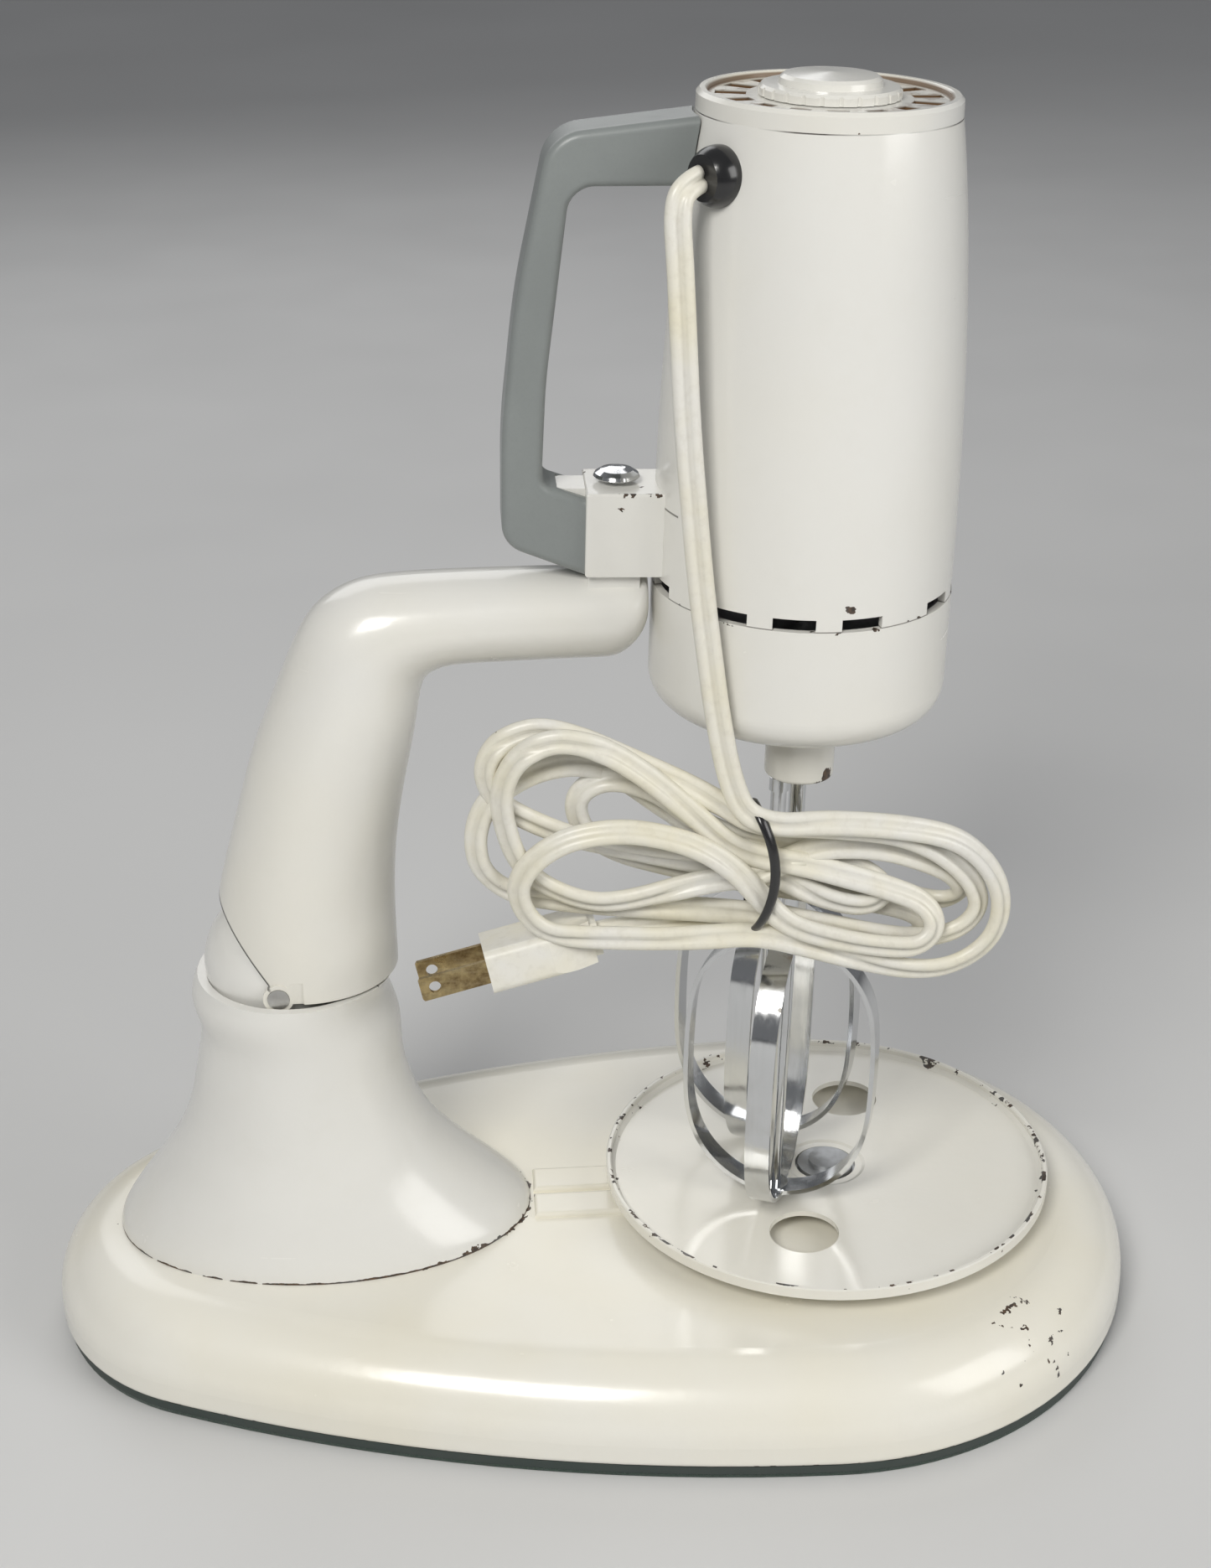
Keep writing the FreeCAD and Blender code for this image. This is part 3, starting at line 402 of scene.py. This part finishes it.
def arm_zones(m):
    spot = m.mul(m.near_point((-0.0440, -0.0185, 0.1620), 0.0045), 0.80)
    edge = m.mul(m.ramp(m.xyz()[2], 0.2298, 0.2303), 0.25)
    return m.mx(spot, edge)


def arm_lines(m):
    """The parting line from the tilt pin up to the back of the arm."""
    x, z = m.xyz()[0], m.xyz()[2]
    dx, dz = m.sub(x, -0.0864), m.sub(z, 0.1155)
    off = m.math("ABSOLUTE", m.add(m.mul(dx, sin(radians(126))), m.mul(dz, -cos(radians(126)))))
    line = m.mul(m.ramp(off, 0.0002, 0.0006, 1.0, 0.0), m.ramp(x, -0.0890, -0.0880, 1.0, 0.0))
    return m.mul(line, m.ramp(z, 0.150, 0.160, 1.0, 0.0)), (0.03, 0.028, 0.026)


MATERIALS = {
    "white_enamel": enamel("enamel_plain", seed=1.0),
    "white_plastic": plastic("plastic_white", (0.80, 0.79, 0.74), 0.16, amount=0.3, Coat_Weight=0.3,
                             Coat_Roughness=0.08),
    "grey_plastic": plastic("plastic_grey", (0.255, 0.275, 0.270), 0.30, grain=1300.0,
                            dirt=(0.14, 0.15, 0.15), amount=0.45),
    "chrome": metal("chrome_worn", (0.66, 0.67, 0.68), 0.06, streak=(1, 1, 0.06), scale=900.0, dirt=0.22,
                    spots=0.05),
    "steel": metal("steel_plain", (0.56, 0.56, 0.55), 0.26, scale=700.0, dirt=0.4),
    "zinc": metal("zinc_plated", (0.50, 0.51, 0.52), 0.34, scale=500.0, dirt=0.4, spots=0.2),
    "felt": felt(),
    "black_rubber": plastic("rubber_black", (0.012, 0.012, 0.013), 0.20, dirt=(0.10, 0.095, 0.085),
                            amount=0.25, Coat_Weight=0.4, Coat_Roughness=0.12),
    "cord_vinyl": vinyl("vinyl_white"),
    "brass": brass(),
    "copper": banded("copper_wire", (0.48, 0.20, 0.09), (0.75, 0.38, 0.20), 2, 0.0008, 0.28, 1.0),
    "lamination": banded("steel_laminations", (0.13, 0.13, 0.14), (0.34, 0.34, 0.35), 2, 0.001, 0.42, 1.0),
    "carbon": plastic("carbon_block", (0.025, 0.025, 0.026), 0.55, dirt=(0.08, 0.08, 0.08)),
    "phenolic": plastic("phenolic_brown", (0.075, 0.042, 0.026), 0.36, dirt=(0.04, 0.03, 0.02), amount=0.5),
    "bronze": metal("bronze_sintered", (0.46, 0.30, 0.16), 0.40, scale=1200.0, dirt=0.5, spots=0.5),
    "nylon": plastic("nylon_natural", (0.66, 0.60, 0.45), 0.38, amount=0.4),
}
SPECIAL = {
    "base_shell": enamel("enamel_base", (0.86, 0.84, 0.765), zones=base_zones, seed=2.3, specks=0.05,
                         yellow=0.9),
    "column": enamel("enamel_column", zones=column_zones, seed=3.1, specks=0.04),
    "arm": enamel("enamel_arm", zones=arm_zones, lines=arm_lines, seed=4.7, specks=0.05, yellow=0.6),
    "turntable": enamel("enamel_turntable", (0.83, 0.812, 0.745), zones=table_zones, seed=5.9, specks=0.10),
    "motor_housing": enamel("enamel_housing", zones=housing_zones, lines=housing_lines, seed=6.4,
                            specks=0.09, leaning=True),
    "gear_case": enamel("enamel_gear_case", zones=case_zones, seed=7.2, specks=0.05, leaning=True),
    "top_cap": enamel("enamel_cap", zones=cap_zones, lines=cap_lines, seed=8.8, yellow=0.9, leaning=True),
    "handle_bracket": enamel("enamel_bracket", zones=bracket_zones, seed=9.5, specks=0.03, leaning=True),
    # base plate dark green-grey instead of zinc: painted shade, the thin dark line under the base's edge
    "base_plate": plastic("plate_painted_shade", (0.035, 0.050, 0.045), 0.45, dirt=(0.10, 0.10, 0.09), amount=0.5),
}
slot_of = {s["node"]: s["material_slot"] for s in frame["record"]["subparts"]}
for node, slot_name in slot_of.items():
    ob = bpy.data.objects.get(node)
    if ob is None:
        continue
    mat = SPECIAL.get(node, MATERIALS[slot_name])
    if ob.material_slots:
        for s in ob.material_slots:
            s.material = mat


# ------------------------------------------------------------ small helpers
def new_object(name, mesh, mat, body, smooth=True):
    ob = bpy.data.objects.new(name, mesh)
    scene.collection.objects.link(ob)
    mesh.materials.append(mat)
    if smooth:
        for p in mesh.polygons:
            p.use_smooth = True
    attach(ob, body)
    return ob


def sweep_ring(bm, rings, close_ends=True, loop=False):
    rows = [[bm.verts.new(p) for p in r] for r in rings]
    n = len(rows[0])
    pairs = list(zip(rows, rows[1:])) + ([(rows[-1], rows[0])] if loop else [])
    for a, b in pairs:
        for i in range(n):
            bm.faces.new((a[i], a[(i + 1) % n], b[(i + 1) % n], b[i]))
    if close_ends and not loop:
        bm.faces.new(rows[0][::-1])
        bm.faces.new(rows[-1])
    bmesh.ops.recalc_face_normals(bm, faces=bm.faces)


# -------------------------------------------------------------------- cord
# One line for the whole cord, control points in millimetres: down the side of
# the mixer, then turn after turn through the tie, and out to the plug.
LEAD = [(29.4, -22.3, 334.9), (24.6, -25.6, 333.6), (22.9, -27.0, 327.6), (23.6, -28.4, 316.0), (24.2, -30.6, 298.0),
        (25.0, -32.6, 277.0), (26.6, -33.9, 256.0), (28.2, -34.8, 237.0), (30.2, -35.9, 219.5),
        (32.4, -37.4, 201.5), (35.4, -39.2, 185.0), (39.4, -40.6, 174.5)]
TURNS = [
    # outermost right loop
    (48, -42.6, 172), (60, -42.8, 172.5), (74, -42.4, 171), (86, -41.4, 168.5), (95.5, -40.2, 165),
    (102.5, -39.0, 159),
    (107.5, -38.2, 151.5), (109.5, -38.0, 144), (108.5, -38.2, 136), (104, -38.6, 130),
    (97, -39.2, 126.2), (89, -40.0, 125.4),
    (79, -40.8, 127.4), (68, -41.4, 131.4), (57, -41.8, 135.6), (43, -42.2, 140),
    # front left loop
    (29, -43.0, 140), (17, -43.2, 140.2), (6, -43.2, 141), (-5, -43.0, 141.8), (-12, -42.8, 143.2),
    (-17, -42.6, 147), (-20, -42.6, 153),
    (-20, -42.8, 159), (-16, -43.0, 165), (-9, -43.4, 170), (-1, -43.8, 172.4), (8, -44.0, 173),
    (18, -44.0, 171),
    (28, -43.8, 167), (37, -43.4, 160), (43.5, -43.0, 151.5),
    # low right loop
    (49, -43.2, 144.5), (56, -43.8, 140.8), (66, -44.2, 137.8), (79, -44.0, 135), (87, -43.6, 134.8),
    (91.5, -42.2, 140), (88, -40.6, 146.6),
    (78, -39.8, 151), (66, -39.2, 155), (54, -39.0, 159), (43, -38.8, 161),
    # upper left loop, in front
    (35, -39.0, 165.5), (26, -39.8, 175), (15, -40.6, 186), (6, -41.0, 193), (-2, -41.2, 197),
    (-10, -41.0, 198), (-17, -40.6, 195),
    (-21.5, -40.2, 190), (-24, -39.8, 182), (-23, -39.4, 173), (-20, -39.2, 163), (-14, -38.8, 156),
    (-5, -38.6, 151), (4, -38.6, 149),
    (19, -38.6, 152), (32, -38.8, 155), (43, -38.9, 155.5),
    # middle right loop, its end turns back behind
    (52, -37.6, 160), (62, -36.8, 162.6), (77, -36.2, 161), (88, -35.8, 157), (97, -34.8, 152),
    (100.5, -32.4, 145), (94, -29.8, 140.4),
    (80, -29.4, 144.5), (62, -30.0, 152.0), (43, -31.2, 156.5),
    # leftmost loop, behind
    (30, -29.9, 163), (16, -29.9, 176), (5, -30.6, 184.5), (-4, -32.0, 187.4), (-13, -33.2, 186.6),
    (-20, -34.4, 184), (-26, -35.4, 180), (-29.4, -36.0, 175),
    (-31, -36.2, 168), (-30, -36.0, 160), (-25, -35.6, 154), (-18, -35.2, 150.6), (0, -35.0, 147.2),
    (20, -35.4, 145.4), (43, -35.4, 142.6),
    # second right loop, from below
    (60, -36.4, 139), (77, -37.0, 134.8), (89, -37.0, 133.4), (99, -36.8, 135.6), (104, -36.6, 142),
    (102, -37.0, 149.5), (96, -37.8, 157),
    (87, -38.4, 163.6), (77, -38.8, 167.4), (62, -39.2, 169.6), (43, -38.8, 170.5),
    # upper left loop, behind
    (34, -37.8, 176.5), (22, -37.2, 183.5), (13, -36.8, 188), (0, -36.6, 195), (-12, -36.4, 199.5),
    (-20, -36.4, 198), (-26, -36.4, 193.6), (-28, -36.4, 187),
    (-25.5, -36.2, 180), (-19, -35.9, 174.4), (-6, -35.4, 167.6), (10, -35.0, 162.6),
    (27, -35.0, 158.6), (43, -35.2, 155.8),
    # small right loop
    (50, -36.4, 153.6), (57, -37.6, 149.6), (65, -38.6, 146.4), (73, -38.4, 144.8),
    (78.5, -37.2, 148.2), (74, -35.6, 153.2), (63, -34.6, 158.2), (52, -34.3, 161.8),
    (43, -34.8, 163.6),
    # small left loop
    (34, -34.4, 166.6), (27, -34.0, 171), (18, -33.8, 179), (9, -33.6, 182.8), (2, -33.2, 182.8),
    (-3.4, -32.6, 179), (-4.4, -32.0, 173), (-1, -31.4, 165.6), (7, -31.0, 160),
    (18, -30.9, 156.4), (31, -30.9, 153), (43, -31.2, 149.8),
    # hidden right loop, behind
    (55, -31.4, 147.4), (68, -32.2, 144.4), (81, -32.6, 142.2), (90, -32.0, 137.6),
    (89, -30.6, 130.6), (78, -30.0, 129.8), (61, -30.4, 135.4), (43, -31.8, 141.4)]
TAIL = [(27.5, -32.8, 139.7), (14.0, -32.5, 138.8), (1.0, -33.0, 137.4), (-6.0, -33.6, 135.8)]


def curve_points(points, name, order, resolution, cyclic=False):
    """The points Blender draws along one NURBS spline; control points in mm."""
    cu = bpy.data.curves.new(name, "CURVE")
    cu.dimensions = "3D"
    sp = cu.splines.new("NURBS")
    sp.points.add(len(points) - 1)
    for q, p in zip(sp.points, points):
        q.co = (p[0] * MM, p[1] * MM, p[2] * MM, 1.0)
    sp.order_u = order
    sp.use_endpoint_u = not cyclic
    sp.use_cyclic_u = cyclic
    sp.resolution_u = resolution
    ob = bpy.data.objects.new(name, cu)
    scene.collection.objects.link(ob)
    me = bpy.data.meshes.new_from_object(ob)
    pts = [v.co.copy() for v in me.vertices]
    bpy.data.objects.remove(ob)
    bpy.data.meshes.remove(me)
    bpy.data.curves.remove(cu)
    return pts


def cord_route(points):
    """The cord's centre line, without points closer than 0.4 mm."""
    pts = curve_points(points, "cord_route", order=3, resolution=10)
    out = [pts[0]]
    for p in pts[1:]:
        if (p - out[-1]).length > 0.4 * MM:
            out.append(p)
    return out


def flat_frames(line, face):
    """Tangent, width and face directions; face(i, p) is the side to look at."""
    n = len(line)
    tans = [(line[min(i + 1, n - 1)] - line[max(i - 1, 0)]).normalized() for i in range(n)]
    faces = []
    for i, (p, t) in enumerate(zip(line, tans)):
        f = face(i, p)
        faces.append(f - t * f.dot(t))
    for _ in range(14):   # smooth the twist
        faces = [(faces[max(i - 1, 0)] + faces[i] * 2 + faces[min(i + 1, n - 1)]) / 4 for i in range(n)]
    res = []
    for t, f in zip(tans, faces):
        f = (f - t * f.dot(t)).normalized()
        res.append((t, t.cross(f).normalized(), f))
    return res


def two_core(line, frames, name):
    """Flat two-conductor cord: two round cores joined side by side."""
    r, c, web = 0.00172, 0.00163, 0.00052   # core radius, core offset, web half thickness
    prof = []
    k = 11
    for side in (1, -1):
        for j in range(k):
            a = -pi / 2 - 0.42 + (pi + 0.84) * j / (k - 1)
            if side < 0:
                a += pi
            prof.append((side * c + r * cos(a), r * sin(a)))
        prof.append((0.0, web * side))
    bm = bmesh.new()
    rings = [[p + w * a + f * b for a, b in prof] for p, (_, w, f) in zip(line, frames)]
    sweep_ring(bm, rings)
    me = bpy.data.meshes.new(name)
    bm.to_mesh(me)
    bm.free()
    return me


cord_line = cord_route(LEAD + TURNS + TAIL)  # one line, end to end


def cord_face(i, p):
    """Flat side out to -Y, turned outwards where the cord bends."""
    if p.z > 0.195:
        return Vector((-0.10, -1, 0))
    n = len(cord_line)
    a, b = cord_line[max(i - 14, 0)], cord_line[min(i + 14, n - 1)]
    out = p - (a + b) / 2
    bend = min(1.0, out.length / 0.0016)
    out = out.normalized() if out.length > 1e-6 else Vector((0, 0, 0))
    side = min(1.0, abs(p.x - TIE_X) / 0.02)
    return Vector((0, -1, 0.18)) + out * (0.85 * bend * side)


frames = flat_frames(cord_line, cord_face)
cord = new_object("cord", two_core(cord_line, frames, "cord"), MATERIALS["cord_vinyl"], "mixer")
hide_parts("cord_lead", "cord_hank", "cord_tail")


# --------------------------------------------------------------------- tie
def make_tie():
    """Black band drawn round all the strands, slack bulge on the right."""
    loop = [(41.0, -35.5, 138.6), (41.6, -40.6, 139.6), (43.2, -44.6, 143.6), (45.6, -46.2, 149.5),
            (47.2, -46.2, 156.5),
            (47.0, -45.6, 164.0), (45.2, -44.6, 170.6), (43.2, -42.4, 175.0), (42.2, -38.0, 176.4),
            (42.0, -33.4, 175.6),
            (42.4, -29.6, 171.8), (43.0, -28.0, 164.0), (43.4, -27.6, 156.0), (43.0, -27.8, 148.0),
            (42.2, -29.2, 142.0), (41.4, -31.6, 139.2)]
    pts = curve_points(loop, "tie_line", order=4, resolution=8, cyclic=True)
    n, mid = len(pts), sum(pts, Vector()) / len(pts)
    rings = []
    for i, q in enumerate(pts):
        t = (pts[(i + 1) % n] - pts[i - 1]).normalized()
        o = q - mid
        o = (o - t * o.dot(t)).normalized()
        w = t.cross(o)
        angles = [2 * pi * k / 12 for k in range(12)]
        rings.append([q + w * (0.00150 * cos(a)) + o * (0.00085 * sin(a)) for a in angles])
    bm = bmesh.new()
    sweep_ring(bm, rings, loop=True)
    out = bpy.data.meshes.new("cord_band")
    bm.to_mesh(out)
    bm.free()
    return new_object("cord_band", out, MATERIALS["black_rubber"], "mixer")


tie = make_tie()
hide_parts("cord_tie")


# ------------------------------------------------------------ floor, lights
def floor():
    me = bpy.data.meshes.new("floor")
    bm = bmesh.new()
    bmesh.ops.create_grid(bm, x_segments=2, y_segments=2, size=20)
    bm.to_mesh(me)
    bm.free()
    m = Mat("floor_pale")
    col = m.mix(m.ramp(m.noise(3.0, 3.0), 0.3, 0.7), (0.66, 0.66, 0.655), (0.70, 0.70, 0.695))
    m.finish(col, m.ramp(m.noise(12.0), 0.3, 0.7, 0.55, 0.65))
    me.materials.append(m.m)
    ob = bpy.data.objects.new("floor", me)
    scene.collection.objects.link(ob)
    ob.location = (0, 0, -0.0002)


def area(name, loc, target, size, power, color=(1, 1, 1)):
    d = bpy.data.lights.new(name, "AREA")
    d.shape = "RECTANGLE"
    d.size, d.size_y = size
    d.energy = power
    d.color = color
    ob = bpy.data.objects.new(name, d)
    ob.location = loc
    ob.rotation_euler = (Vector(target) - Vector(loc)).to_track_quat("-Z", "Y").to_euler()
    scene.collection.objects.link(ob)


floor()
area("key", (-0.50, -1.10, 1.25), (0.0, 0.0, 0.14), (0.55, 0.55), 15.5, (1.0, 0.985, 0.95))
area("fill", (1.1, -0.7, 0.75), (0.02, 0.0, 0.12), (0.8, 0.8), 7.5, (1.0, 0.99, 0.97))
area("back", (-0.3, 1.3, 1.1), (0.0, 0.0, 0.15), (1.4, 0.9), 6.0)
world = bpy.data.worlds.new("studio")
world.use_nodes = True
world.node_tree.nodes["Background"].inputs[0].default_value = (0.50, 0.51, 0.53, 1)
world.node_tree.nodes["Background"].inputs[1].default_value = 0.36
scene.world = world
scene.view_settings.view_transform = "Standard"
